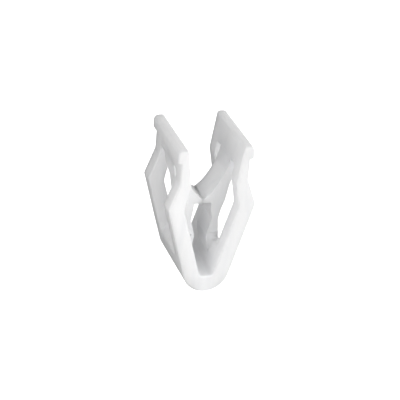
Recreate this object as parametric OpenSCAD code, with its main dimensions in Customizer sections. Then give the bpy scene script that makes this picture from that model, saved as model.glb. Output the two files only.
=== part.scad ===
// Push-in spring anchor for a slotted wall panel, moulded in white nylon.
// Two sprung arms stand on a rounded nose. Each arm has a lip that stops on the panel,
// a neck that sits in the slot, a shoulder that locks behind it and a barbed inner leaf
// that grips a blade pushed in from the top.
// X runs across the arms, Y along the slot, and +Z out of the wall.
// The origin is the middle of the slot at the panel's outer face.

/* [Overall] */
// Length of the anchor along the slot
body_w = 11.4; // [9:0.1:14]
// Width of each front and back post
post_w = 2.3; // [1.8:0.1:2.8]
// Width of the inner leaves
leaf_w = 4.0; // [3:0.1:5]

/* [Head] */
// Height of the head above the panel face
head_h = 1.8; // [1.4:0.05:2.4]
// Half of the gap between the arms at the top
gap_top = 3.74; // [3.4:0.02:4]
// How far the lips reach, measured from the middle
lip_reach = 5.1; // [4.95:0.05:5.6]

/* [Neck and shoulder] */
// Half width across the necks
neck_half = 4.62; // [4.56:0.02:4.68]
// Half width across the locking shoulders
shoulder_half = 5.95; // [5.7:0.05:6.3]
// Depth of the shoulders below the panel face
shoulder_z = -6.63; // [-7:0.05:-6.3]
// Top edge of the windows
win_top = -1.7; // [-1.8:0.05:-1.6]
// Bottom edge of the windows
win_bottom = -13.4; // [-13.8:0.05:-13.2]

/* [Legs and nose] */
// Depth of the whole anchor below the panel face
depth = 19.2; // [18.8:0.1:19.6]
// Radius of the rounded nose
nose_r = 3.2; // [3.1:0.05:3.4]
// Lean of the legs from the vertical
leg_lean = 16; // [15:0.5:17]
// Thickness of the legs
leg_t = 2.13; // [2:0.02:2.3]

/* [Barb] */
// Level of the barbs' flat undersides
barb_z = -7.9; // [-8:0.05:-7.8]
// Clearance between a barb's point and the middle
barb_gap = 0.04; // [0.03:0.01:0.1]

/* [Hidden] */
$fn = 96;

// Running clearance round the flexing sections, and at the stem's free lower end
flex_gap = 0.04;
free_gap = 0.12;
// A size larger than the anchor, for cutting shapes
big = 40;

// Flexing sections: [x, z] of the axis and radius of the round
arm_axis = [2.335, -15.6];
arm_flex_r = 0.95;
arm_relief = 10;
tongue_axis = [3.92, -1.9];
tongue_flex_r = 0.6;
knee_axis = [2.0, -8.35];
knee_r = 0.7;
stem_end = [1.8, -12.2];
stem_end_r = 0.5;

// Outline points of the right arm, all [x, z]
nose_z = -depth + nose_r;
neck_in = [3.03, -3.5];
neck_low_z = -2.95;
shoulder = [shoulder_half, shoulder_z];
elbow_z = -7.0;
barb_top = [0.1, -7.3];
leaf_bend = [1.74, -6.3];
leaf_root = [3.36, -2.1];
leaf_back = [[2.9, barb_z], [3.19, -7.0], [3.53, -5.2], [4.12, -3.6], [4.47, -2.15]];
barb_cut_x = 1.3;
floor_z = -16.85;
floor_r = 0.5;
sill_x = 2.7;
sill_drop = 1.4;
sill_run = 0.973;

// X of the legs' outer and inner faces at a level z
function leg_out(z) =
    nose_r * cos(leg_lean) + (z - nose_z + nose_r * sin(leg_lean)) * tan(leg_lean);
function leg_in(z) = leg_out(z) - leg_t / cos(leg_lean);

// X of the inner face above the elbow at a level z
function neck_inner(z) =
    neck_in[0] + (gap_top - neck_in[0]) * (z - neck_in[1]) / (head_h - neck_in[1]);

// Points along a curve from a to c that leaves towards b and arrives from b
function bend(a, b, c, steps) =
    [for (i = [0:steps]) let (t = i / steps)
        (1 - t) * (1 - t) * a + 2 * t * (1 - t) * b + t * t * c];

// Extrudes an [x, z] outline along Y from y0 to y1
module along_slot(y0, y1) {
    translate([0, y1, 0])
        rotate([90, 0, 0])
            linear_extrude(height = y1 - y0)
                children();
}

module full_width() {
    along_slot(-body_w / 2, body_w / 2) children();
}

module front_post() {
    along_slot(-body_w / 2, -body_w / 2 + post_w) children();
}

module back_post() {
    along_slot(body_w / 2 - post_w, body_w / 2) children();
}

module leaf_width() {
    along_slot(-leaf_w / 2, leaf_w / 2) children();
}

module disc_at(p, r) {
    translate(p) circle(r = r);
}

// ---- Head ----

module head_outline() {
    polygon([
        [neck_inner(win_top), win_top],
        [neck_half, win_top],
        [neck_half, head_h],
        [gap_top, head_h]
    ]);
}

module lip_outline() {
    top_r = 0.62;
    low_r = 0.2;
    translate([neck_half, 0]) square([lip_reach - low_r - neck_half, head_h - top_r]);
    translate([neck_half, low_r]) square([lip_reach - neck_half, head_h - top_r - low_r]);
    disc_at([lip_reach - low_r, low_r], low_r);
    intersection() {
        disc_at([lip_reach - top_r, head_h - top_r], top_r);
        translate([neck_half, 0]) square([lip_reach - neck_half, head_h]);
    }
}

// ---- Posts ----

module neck_outline() {
    polygon([
        [neck_inner(win_top), win_top],
        neck_in,
        [leg_in(elbow_z), elbow_z],
        shoulder,
        [neck_half, neck_low_z],
        [neck_half, win_top]
    ]);
}

module leg_outline() {
    polygon([
        [leg_in(elbow_z), elbow_z],
        [leg_in(win_bottom), win_bottom],
        [leg_out(win_bottom), win_bottom],
        shoulder
    ]);
}

// ---- Foot and the flexing section above the nose ----

// Everything above the arm's flexing line, which falls away by the relief angle on each side
module above_flex_line(relief) {
    translate(arm_axis)
        rotate(-leg_lean)
            polygon([
                [0, 0],
                [big, -big * tan(relief)],
                [big, big],
                [-big, big],
                [-big, -big * tan(relief)]
            ]);
}

module foot_outline() {
    intersection() {
        polygon([
            [leg_in(floor_z), floor_z],
            [leg_out(floor_z), floor_z],
            [leg_out(win_bottom), win_bottom],
            [leg_in(win_bottom), win_bottom]
        ]);
        above_flex_line(0);
    }
    disc_at(arm_axis, arm_flex_r);
}

// The space above the window's sill, which falls away outwards from behind the stem
module sill_outline() {
    polygon([
        [sill_x - sill_run, win_bottom + sill_drop],
        [sill_x + 1.5 * sill_run, win_bottom - 1.5 * sill_drop],
        [big, win_bottom - 1.5 * sill_drop],
        [big, win_bottom + sill_drop]
    ]);
}

module nose_outline() {
    difference() {
        union() {
            disc_at([0, nose_z], nose_r);
            polygon([
                [-nose_r * cos(leg_lean), nose_z - nose_r * sin(leg_lean)],
                [nose_r * cos(leg_lean), nose_z - nose_r * sin(leg_lean)],
                [leg_out(win_bottom), win_bottom],
                [-leg_out(win_bottom), win_bottom]
            ]);
        }
        valley_outline();
        for (side = [0, 1])
            mirror([side, 0]) {
                above_flex_line(arm_relief);
                disc_at(arm_axis, arm_flex_r + flex_gap);
            }
    }
}

// The open space between the legs, down to its rounded floor
module valley_outline() {
    polygon([
        [floor_r - leg_in(floor_z), floor_z],
        [leg_in(floor_z) - floor_r, floor_z],
        [leg_in(floor_z + floor_r), floor_z + floor_r],
        [leg_in(0), 0],
        [-leg_in(0), 0],
        [-leg_in(floor_z + floor_r), floor_z + floor_r]
    ]);
    for (side = [-1, 1])
        disc_at([side * (leg_in(floor_z + floor_r) - floor_r / cos(leg_lean)), floor_z + floor_r], floor_r);
}

// ---- Inner leaf ----

// Tongue and barb together, from the flexing round under the head to the barb's point
module leaf_outline() {
    difference() {
        union() {
            disc_at(tongue_axis, tongue_flex_r);
            polygon(concat(
                [[barb_gap, barb_z]],
                leaf_back,
                bend(leaf_root, leaf_bend, barb_top, 12)
            ));
        }
        disc_at(knee_axis, knee_r + flex_gap);
    }
}

module barb_side() {
    translate([-big, -big]) square([big + barb_cut_x, 2 * big]);
}

module stem_outline() {
    disc_at(knee_axis, knee_r);
    disc_at(stem_end, stem_end_r);
    polygon(concat(
        bend([knee_axis[0] - knee_r, knee_axis[1]], [1.4, -10.4],
            [stem_end[0] - stem_end_r, stem_end[1]], 8),
        bend([stem_end[0] + stem_end_r, stem_end[1]], [2.3, -10.4],
            [knee_axis[0] + knee_r, knee_axis[1]], 8)
    ));
}

// The thick root on the foot's inner face, with an open seat for the stem's lower end
module stem_root_outline() {
    root_low = -15.0;
    difference() {
        polygon([
            [leg_in(root_low), root_low],
            [leg_in(win_bottom), win_bottom],
            [2.6, win_bottom],
            [2.5, stem_end[1]],
            [1.1, stem_end[1]],
            [0.86, -12.75],
            [1.0, -13.75]
        ]);
        disc_at(stem_end, stem_end_r + free_gap);
    }
}

// ---- Nodes ----

module nose_bow() {
    color([0.93, 0.93, 0.95]) full_width() nose_outline();
}

module head_plate() {
    color([0.90, 0.90, 0.93])
        difference() {
            full_width() head_outline();
            along_slot(-leaf_w / 2 - flex_gap, leaf_w / 2 + flex_gap)
                disc_at(tongue_axis, tongue_flex_r + flex_gap);
        }
}

module lip() {
    color([0.92, 0.92, 0.95]) full_width() lip_outline();
}

module front_neck() {
    color([0.95, 0.95, 0.96]) front_post() neck_outline();
}

module back_neck() {
    color([0.86, 0.86, 0.90]) back_post() neck_outline();
}

module front_leg() {
    color([0.96, 0.96, 0.97]) front_post() leg_outline();
}

module back_leg() {
    color([0.84, 0.84, 0.88]) back_post() leg_outline();
}

module foot() {
    color([0.93, 0.93, 0.95])
        difference() {
            full_width() foot_outline();
            along_slot(-body_w / 2 + post_w, body_w / 2 - post_w) sill_outline();
        }
}

module stem_root() {
    color([0.90, 0.90, 0.93]) leaf_width() stem_root_outline();
}

module tongue() {
    color([0.88, 0.88, 0.91])
        leaf_width()
            difference() {
                leaf_outline();
                barb_side();
            }
}

module barb() {
    color([0.95, 0.95, 0.96])
        leaf_width()
            intersection() {
                leaf_outline();
                barb_side();
            }
}

module stem() {
    color([0.88, 0.88, 0.91]) leaf_width() stem_outline();
}

// The left arm is the mirror image of the right arm
module left() {
    mirror([1, 0, 0]) children();
}

nose_bow();
left() head_plate();  // left_head_plate
left() lip();  // left_lip
left() front_neck();  // left_front_neck
left() back_neck();  // left_back_neck
left() front_leg();  // left_front_leg
left() back_leg();  // left_back_leg
left() foot();  // left_foot
left() stem_root();  // left_stem_root
left() tongue();  // left_tongue
left() barb();  // left_barb
left() stem();  // left_stem
head_plate();  // right_head_plate
lip();  // right_lip
front_neck();  // right_front_neck
back_neck();  // right_back_neck
front_leg();  // right_front_leg
back_leg();  // right_back_leg
foot();  // right_foot
stem_root();  // right_stem_root
tongue();  // right_tongue
barb();  // right_barb
stem();  // right_stem
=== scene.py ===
import math

import bmesh
import bpy
from mathutils import Matrix, Vector


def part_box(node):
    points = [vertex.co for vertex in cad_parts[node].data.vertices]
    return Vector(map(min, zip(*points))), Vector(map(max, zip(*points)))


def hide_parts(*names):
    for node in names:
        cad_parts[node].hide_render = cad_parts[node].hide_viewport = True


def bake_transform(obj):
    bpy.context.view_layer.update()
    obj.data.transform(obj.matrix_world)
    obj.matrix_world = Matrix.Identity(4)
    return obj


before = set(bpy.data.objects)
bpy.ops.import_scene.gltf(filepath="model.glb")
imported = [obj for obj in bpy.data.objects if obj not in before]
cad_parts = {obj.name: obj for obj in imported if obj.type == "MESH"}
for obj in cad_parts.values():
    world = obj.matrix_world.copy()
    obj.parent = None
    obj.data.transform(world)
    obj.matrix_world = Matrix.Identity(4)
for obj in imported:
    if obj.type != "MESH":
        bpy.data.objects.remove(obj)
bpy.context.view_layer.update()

MM = 0.001

# ---------------------------------------------------------------- outlines
# Outlines are [x, z] in millimetres, for the right side; the left side is the mirror image.

HEAD_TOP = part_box("right_head_plate")[1].z / MM
LIP_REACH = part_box("right_lip")[1].x / MM
HALF_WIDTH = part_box("nose_bow")[1].y / MM
LEAF_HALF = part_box("right_tongue")[1].y / MM
POST_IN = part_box("right_back_leg")[0].y / MM
NOSE_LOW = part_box("nose_bow")[0].z / MM
NOSE_R = 3.2
NOSE_Z = NOSE_LOW + NOSE_R
LEAN = math.radians(16)
WIN_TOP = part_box("right_front_neck")[1].z / MM
WIN_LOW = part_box("right_front_leg")[0].z / MM
BARB_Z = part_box("right_barb")[0].z / MM
LEG_T = 2.13
NECK_X = 4.62
GAP_TOP = 3.74
NECK_IN = (3.03, -3.5)
ELBOW_Z = -7.0
SHOULDER = (5.95, -6.63)
FLOOR_Z = -16.85
TIP = (0.055, -7.3)
OUTSIDE = 7.5
FLEX = Vector((2.335, 0, -15.6))
ALONG_LEG = Vector((math.sin(LEAN), 0, math.cos(LEAN)))


def leg_out(z):
    return NOSE_R * math.cos(LEAN) + (z - NOSE_Z + NOSE_R * math.sin(LEAN)) * math.tan(LEAN)


def leg_in(z):
    return leg_out(z) - LEG_T / math.cos(LEAN)


def neck_in(z):
    x, low = NECK_IN
    return x + (GAP_TOP - x) * (z - low) / (HEAD_TOP - low)


def fillet(corners):
    """A closed outline of (x, z, radius) corners, with an arc at each corner that has a radius."""
    out = []
    n = len(corners)
    for i, (x, z, r) in enumerate(corners):
        p = Vector((x, z))
        a = Vector(corners[i - 1][:2]) - p
        b = Vector(corners[(i + 1) % n][:2]) - p
        if r <= 0:
            out.append(p)
            continue
        la, lb = a.length, b.length
        a, b = a / la, b / lb
        half = math.acos(max(-1, min(1, a.dot(b)))) / 2
        back = min(r / math.tan(half), 0.49 * la, 0.49 * lb)
        r = back * math.tan(half)
        centre = p + (a + b).normalized() * (r / math.sin(half))
        start, end = p + a * back - centre, p + b * back - centre
        turn = math.atan2(start.x * end.y - start.y * end.x, start.dot(end))
        steps = max(2, round(abs(turn) / math.radians(9)))
        for k in range(steps + 1):
            t = turn * k / steps
            out.append(centre + Vector((start.x * math.cos(t) - start.y * math.sin(t),
                                        start.x * math.sin(t) + start.y * math.cos(t))))
    return out


def curve(a, b, c, steps):
    """Points along a curve from a to c, pulled towards b."""
    a, b, c = Vector(a), Vector(b), Vector(c)
    return [(1 - t) ** 2 * a + 2 * t * (1 - t) * b + t * t * c
            for t in (i / steps for i in range(steps + 1))]


# ---------------------------------------------------------------- mesh helpers

def loft(name, low_points, high_points):
    """A closed solid between two outlines with the same number of points."""
    bm = bmesh.new()
    low = [bm.verts.new(p) for p in low_points]
    high = [bm.verts.new(p) for p in high_points]
    n = len(low)
    bm.faces.new(low)
    bm.faces.new(list(reversed(high)))
    for i in range(n):
        bm.faces.new((low[i], high[i], high[(i + 1) % n], low[(i + 1) % n]))
    bmesh.ops.recalc_face_normals(bm, faces=bm.faces)
    return from_bmesh(name, bm)


def prism(name, outline, y0, y1):
    """A closed solid: an [x, z] outline pulled along Y."""
    return loft(name, [(p[0] * MM, y0 * MM, p[1] * MM) for p in outline],
                [(p[0] * MM, y1 * MM, p[1] * MM) for p in outline])


def window_block(name, x0, x1, y, z0, z1, r):
    """A block through the arm along X, with rounded top corners: what is cut for the window."""
    pts = fillet([(-y, z0, 0), (y, z0, 0), (y, z1, r), (-y, z1, r)])
    return loft(name, [(x0 * MM, p[0] * MM, p[1] * MM) for p in pts],
                [(x1 * MM, p[0] * MM, p[1] * MM) for p in pts])


def from_bmesh(name, bm):
    me = bpy.data.meshes.new(name)
    bm.to_mesh(me)
    bm.free()
    o = bpy.data.objects.new(name, me)
    bpy.context.scene.collection.objects.link(o)
    return o


def boolean(obj, tool, operation):
    """obj's mesh becomes the union or difference with tool, and tool goes."""
    m = obj.modifiers.new("b", "BOOLEAN")
    m.operation, m.object, m.solver = operation, tool, "EXACT"
    bake(obj)
    bpy.data.objects.remove(tool)


def bake(obj):
    """Applies obj's modifiers to its mesh."""
    dg = bpy.context.evaluated_depsgraph_get()
    dg.update()
    me = bpy.data.meshes.new_from_object(obj.evaluated_get(dg))
    obj.modifiers.clear()
    obj.data = me


def clean(bm):
    bmesh.ops.remove_doubles(bm, verts=bm.verts, dist=2e-7)
    bmesh.ops.dissolve_limit(bm, angle_limit=math.radians(0.4), verts=bm.verts, edges=bm.edges,
                             use_dissolve_boundaries=False, delimit=set())


def soften(obj, width, keep, segments=3, sharp=32, clamp=True):
    """Rounds every edge sharper than `sharp` degrees that keep() allows."""
    bm = bmesh.new()
    bm.from_mesh(obj.data)
    clean(bm)
    edges = [e for e in bm.edges if len(e.link_faces) == 2
             and e.calc_face_angle(0) > math.radians(sharp)
             and keep(e.verts[0].co / MM, e.verts[1].co / MM)]
    bmesh.ops.bevel(bm, geom=edges, offset=width * MM, offset_type="OFFSET", segments=segments,
                    profile=0.5, affect="EDGES", clamp_overlap=clamp, loop_slide=True)
    bmesh.ops.remove_doubles(bm, verts=bm.verts, dist=2e-7)
    bm.to_mesh(obj.data)
    bm.free()


def slice_up(obj, points, normal):
    """Adds rows of vertices where planes cross obj."""
    bm = bmesh.new()
    bm.from_mesh(obj.data)
    for p in points:
        bmesh.ops.bisect_plane(bm, geom=bm.verts[:] + bm.edges[:] + bm.faces[:], dist=1e-8,
                               plane_co=Vector(p) * MM, plane_no=normal)
    bm.to_mesh(obj.data)
    bm.free()


def mirrored(obj, name):
    me = obj.data.copy()
    o = bpy.data.objects.new(name, me)
    bpy.context.scene.collection.objects.link(o)
    me.transform(Matrix.Scale(-1, 4, (1, 0, 0)))
    me.flip_normals()
    return o


# ---------------------------------------------------------------- shape of one side

def moulding(name):
    """One arm with its lip, posts, foot and leaf root, down to the middle of the nose."""
    nose = [(NOSE_R * math.cos(math.radians(a)), NOSE_Z + NOSE_R * math.sin(math.radians(a)), 0)
            for a in range(-90, -15, 4)]
    nose[0] = (0, NOSE_LOW, 0)
    outer = [
        (leg_out(WIN_LOW), WIN_LOW, 0),
        (*SHOULDER, 0.36),
        (NECK_X, -2.95, 1.2),
        (NECK_X, 0.0, 0.16),
        (LIP_REACH, 0.0, 0.7),
        (LIP_REACH, HEAD_TOP, 0.62),
    ]
    inner = [
        (GAP_TOP, HEAD_TOP, 0.3),
        (*NECK_IN, 1.5),
        (leg_in(ELBOW_Z), ELBOW_Z, 1.6),
        (leg_in(WIN_LOW), WIN_LOW, 0),
        (leg_in(FLOOR_Z), FLOOR_Z, 0.6),
        (0, FLOOR_Z, 0),
    ]
    body = prism(name, fillet(nose + outer + inner), -HALF_WIDTH, HALF_WIDTH)
    boolean(body, window_block("window", 0.9, OUTSIDE, POST_IN, WIN_LOW, WIN_TOP, 0.45),
            "DIFFERENCE")
    # The window's sill falls away outwards
    sill = [(2.7, WIN_LOW), (4.16, -15.5), (OUTSIDE, -15.5), (OUTSIDE, WIN_LOW)]
    boolean(body, prism("sill", sill, -POST_IN, POST_IN), "DIFFERENCE")
    # Every edge but those in the middle of the nose, where the other half meets this one
    soften(body, 0.24, lambda a, b: a.x > 0.005 or b.x > 0.005, segments=4, clamp=False)
    # The root the leaf's stem stands on
    hump = prism("hump", fillet([
        (leg_in(-15.4), -15.4, 0), (0.98, -13.9, 0.8), (0.81, -12.72, 0.3), (1.25, -12.4, 0),
        (2.3, -12.33, 0), (2.495, -12.4, 0), (2.55, -13.4, 0), (2.75, -13.7, 0), (2.2, -15.2, 0)]),
        -LEAF_HALF - 0.01, LEAF_HALF + 0.01)
    soften(hump, 0.18, lambda a, b: a.x < 1.2 and b.x < 1.2)
    boolean(body, hump, "UNION")
    slice_up(body, [FLEX + ALONG_LEG * (k * 0.3) for k in range(-4, 6)], ALONG_LEG)
    return body


def leaf(name):
    """Tongue, barb and stem in one piece, hung from the head plate."""
    upper = curve((3.36, -2.1), (1.74, -6.3), TIP, 20)[3:]
    outline = fillet(
        [(0.045, BARB_Z, 0.05), (1.2, BARB_Z, 0.22), (1.25, -9.0, 2.0), (1.47, -10.35, 0.3),
         (0.82, -12.58, 0.1), (1.3, -13.1, 0), (2.2, -13.1, 0), (2.49, -12.5, 0),
         (2.33, -10.35, 2.0), (2.62, -9.0, 1.5), (3.10, -7.55, 0.6),
         (3.53, -5.2, 4.0), (4.12, -3.6, 4.0),
         (4.45, -2.2, 0), (4.45, -1.45, 0), (4.0, -1.2, 0), (neck_in(-1.2) - 0.012, -1.2, 0),
         (neck_in(-1.8) - 0.012, -1.8, 0.8)]
        + [(p.x, p.y, 0) for p in upper[:-1]]
        + [(*TIP, 0.02)])
    body = prism(name, outline, -LEAF_HALF, LEAF_HALF)
    soften(body, 0.17, lambda a, b: a.x > 0.3 or b.x > 0.3, sharp=40)
    slice_up(body, [(2.0, 0, -7.95 - 0.15 * k) for k in range(10)], Vector((0, 0, 1)))
    return body


# ---------------------------------------------------------------- material

def nylon():
    """Satin natural-white nylon: a little light passes into it, with faint flow marks and haze."""
    m = bpy.data.materials.new("white_nylon")
    m.use_nodes = True
    nt = m.node_tree
    b = nt.nodes["Principled BSDF"]
    b.inputs["IOR"].default_value = 1.53
    b.inputs["Specular IOR Level"].default_value = 0.5
    b.inputs["Subsurface Radius"].default_value = (1.0, 1.0, 1.0)
    b.inputs["Subsurface Scale"].default_value = 0.0028

    def add(kind, **settings):
        n = nt.nodes.new(kind)
        for k, v in settings.items():
            setattr(n, k, v)
        return n

    coord = add("ShaderNodeTexCoord")
    # Light travels through the plastic, but not where two pieces of the model meet: in the
    # middle of the nose, where the stem enters its root and where the tongue leaves the head
    place = add("ShaderNodeSeparateXYZ")
    nt.links.new(coord.outputs["Object"], place.inputs["Vector"])
    away = add("ShaderNodeMath", operation="ABSOLUTE")
    nt.links.new(place.outputs["X"], away.inputs[0])
    half = add("ShaderNodeCombineXYZ")
    nt.links.new(away.outputs["Value"], half.inputs["X"])
    nt.links.new(place.outputs["Y"], half.inputs["Y"])
    nt.links.new(place.outputs["Z"], half.inputs["Z"])

    def fade(value, near, far):
        n = add("ShaderNodeMapRange", interpolation_type="SMOOTHSTEP")
        n.inputs["From Min"].default_value = near
        n.inputs["From Max"].default_value = far
        nt.links.new(value, n.inputs["Value"])
        return n.outputs["Result"]

    level = add("ShaderNodeMath", operation="ADD")
    nt.links.new(place.outputs["Z"], level.inputs[0])
    level.inputs[1].default_value = 0.0165
    clear = add("ShaderNodeMath", operation="MAXIMUM")
    nt.links.new(away.outputs["Value"], clear.inputs[0])
    nt.links.new(level.outputs["Value"], clear.inputs[1])
    weight = fade(clear.outputs["Value"], 0.0003, 0.0022)
    for spot in ((0.0017, 0, -0.0126), (0.0034, 0, -0.0018)):
        off = add("ShaderNodeVectorMath", operation="SUBTRACT")
        off.inputs[1].default_value = spot
        nt.links.new(half.outputs["Vector"], off.inputs[0])
        flat = add("ShaderNodeVectorMath", operation="MULTIPLY")
        flat.inputs[1].default_value = (1, 0.45, 1)
        nt.links.new(off.outputs["Vector"], flat.inputs[0])
        far = add("ShaderNodeVectorMath", operation="LENGTH")
        nt.links.new(flat.outputs["Vector"], far.inputs[0])
        both = add("ShaderNodeMath", operation="MULTIPLY")
        nt.links.new(weight, both.inputs[0])
        nt.links.new(fade(far.outputs["Value"], 0.0010, 0.0018), both.inputs[1])
        weight = both.outputs["Value"]
    nt.links.new(weight, b.inputs["Subsurface Weight"])
    stretch = add("ShaderNodeMapping")
    stretch.inputs["Scale"].default_value = (900, 500, 160)
    nt.links.new(coord.outputs["Object"], stretch.inputs["Vector"])
    flow = add("ShaderNodeTexNoise")
    flow.inputs["Scale"].default_value = 1.0
    flow.inputs["Detail"].default_value = 3.0
    flow.inputs["Distortion"].default_value = 0.6
    nt.links.new(stretch.outputs["Vector"], flow.inputs["Vector"])
    tone = add("ShaderNodeValToRGB")
    tone.color_ramp.elements[0].position = 0.3
    tone.color_ramp.elements[0].color = (0.88, 0.885, 0.895, 1)
    tone.color_ramp.elements[1].position = 0.72
    tone.color_ramp.elements[1].color = (0.95, 0.95, 0.955, 1)
    nt.links.new(flow.outputs["Fac"], tone.inputs["Fac"])
    nt.links.new(tone.outputs["Color"], b.inputs["Base Color"])

    fine = add("ShaderNodeTexNoise")
    fine.inputs["Scale"].default_value = 2600.0
    fine.inputs["Detail"].default_value = 4.0
    nt.links.new(coord.outputs["Object"], fine.inputs["Vector"])
    rough = add("ShaderNodeMapRange")
    rough.inputs["To Min"].default_value = 0.34
    rough.inputs["To Max"].default_value = 0.52
    nt.links.new(flow.outputs["Fac"], rough.inputs["Value"])
    nt.links.new(rough.outputs["Result"], b.inputs["Roughness"])
    bump = add("ShaderNodeBump")
    bump.inputs["Strength"].default_value = 0.12
    bump.inputs["Distance"].default_value = 0.00003
    nt.links.new(fine.outputs["Fac"], bump.inputs["Height"])
    nt.links.new(bump.outputs["Normal"], b.inputs["Normal"])
    return m


NYLON = nylon()


def dress(obj):
    """Puts the nylon on obj, with smooth shading that breaks only in the middle of the nose."""
    obj.data.materials.clear()
    obj.data.materials.append(NYLON)
    me = obj.data
    for p in me.polygons:
        p.use_smooth = True
    for e in me.edges:
        e.use_edge_sharp = all(abs(me.vertices[v].co.x) < 1e-6 for v in e.vertices)
    m = obj.modifiers.new("even_shading", "WEIGHTED_NORMAL")
    m.keep_sharp = True
    m.weight = 80
    return obj


# ---------------------------------------------------------------- pieces

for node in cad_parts.values():
    node.data.materials.clear()
    node.data.materials.append(NYLON)

right_moulding = moulding("right_moulding")
right_leaf = leaf("right_leaf_spring")
left_moulding = mirrored(right_moulding, "left_moulding")
left_leaf = mirrored(right_leaf, "left_leaf_spring")

ARM_NODES = ("head_plate", "lip", "front_neck", "back_neck", "front_leg", "back_leg", "foot",
             "stem_root")
for side, sign, arm, spring in (("right", 1, right_moulding, right_leaf),
                                ("left", -1, left_moulding, left_leaf)):
    dress(arm)
    dress(spring)
    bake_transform(arm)
    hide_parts(*[side + "_" + n for n in ARM_NODES], "nose_bow")
    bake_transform(spring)
    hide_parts(side + "_tongue", side + "_barb", side + "_stem")

# ---------------------------------------------------------------- studio


def white_card(name, size, location, rotation=(0, 0, 0)):
    """A plain pale surface behind or below the object that only the camera sees."""
    me = bpy.data.meshes.new(name)
    s = size / 2
    me.from_pydata([(-s, -s, 0), (s, -s, 0), (s, s, 0), (-s, s, 0)], [], [(0, 1, 2, 3)])
    o = bpy.data.objects.new(name, me)
    bpy.context.scene.collection.objects.link(o)
    o.location, o.rotation_euler = location, rotation
    m = bpy.data.materials.new(name)
    m.use_nodes = True
    b = m.node_tree.nodes["Principled BSDF"]
    b.inputs["Base Color"].default_value = (0.9, 0.9, 0.9, 1)
    b.inputs["Roughness"].default_value = 1.0
    b.inputs["Emission Color"].default_value = (1, 1, 1, 1)
    b.inputs["Emission Strength"].default_value = 1.0
    me.materials.append(m)
    o.visible_diffuse = o.visible_glossy = o.visible_transmission = o.visible_shadow = False
    return o


white_card("studio_floor", 12, (0, 0, -0.12))
WALLS, WALL_SIZE, WALL_FAR = 6, 2.2, 0.9
for i in range(WALLS):
    a = math.radians(360 / WALLS * i)
    white_card("studio_wall_%d" % i, WALL_SIZE,
               (WALL_FAR * math.sin(a), WALL_FAR * math.cos(a), 0), (math.radians(90), 0, -a))


def area_light(name, location, size, energy, target=(0, 0, -0.008)):
    """A round area light at location, turned to face target."""
    light = bpy.data.lights.new(name, "AREA")
    light.shape = "DISK"
    light.size = size
    light.energy = energy
    o = bpy.data.objects.new(name, light)
    bpy.context.scene.collection.objects.link(o)
    o.location = location
    o.rotation_mode = "QUATERNION"
    o.rotation_quaternion = (Vector(target) - Vector(location)).to_track_quat("-Z", "Y")
    return o


area_light("key_softbox", (0.36, -0.46, 0.12), 0.25, 1.2)
area_light("near_fill", (-0.026, -0.016, 0.0), 0.02, 0.0018).visible_camera = False

# Soft light from all round, brighter from the front and above than from behind and below
world = bpy.data.worlds.new("studio")
bpy.context.scene.world = world
world.use_nodes = True
wt = world.node_tree
sky = wt.nodes["Background"]
sky.inputs["Color"].default_value = (1, 1, 1, 1)
way = wt.nodes.new("ShaderNodeTexCoord")
toward = wt.nodes.new("ShaderNodeVectorMath")
toward.operation = "DOT_PRODUCT"
toward.inputs[1].default_value = (0.3, -0.75, 0.59)
wt.links.new(way.outputs["Generated"], toward.inputs[0])
level = wt.nodes.new("ShaderNodeMapRange")
level.inputs["From Min"].default_value = -1.0
level.inputs["From Max"].default_value = 1.0
level.inputs["To Min"].default_value = 0.15
level.inputs["To Max"].default_value = 0.87
wt.links.new(toward.outputs["Value"], level.inputs["Value"])
wt.links.new(level.outputs["Result"], sky.inputs["Strength"])

scene = bpy.context.scene
scene.view_settings.view_transform = "Standard"

# ---------------------------------------------------------------- camera

azimuth, elevation, roll = math.radians(-20.3), math.radians(27.8), math.radians(5.0)
distance = 0.2175
target = Vector((0, 0, -0.0087))
back = Vector((math.sin(azimuth) * math.cos(elevation), -math.cos(azimuth) * math.cos(elevation),
               math.sin(elevation)))
right = Vector((math.cos(azimuth), math.sin(azimuth), 0))
cam_up = back.cross(right)
right, cam_up = (right * math.cos(roll) + cam_up * math.sin(roll),
                 cam_up * math.cos(roll) - right * math.sin(roll))
cam = bpy.data.cameras.new("camera")
cam.sensor_width = 36
cam.lens = 147.7
cam.clip_start, cam.clip_end = 0.005, 50
camera = bpy.data.objects.new("camera", cam)
scene.collection.objects.link(camera)
place = target + back * distance + right * 0.000305 + cam_up * 0.000212
turn = Matrix((right, cam_up, back)).transposed()
camera.matrix_world = Matrix.Translation(place) @ turn.to_4x4()
scene.camera = camera
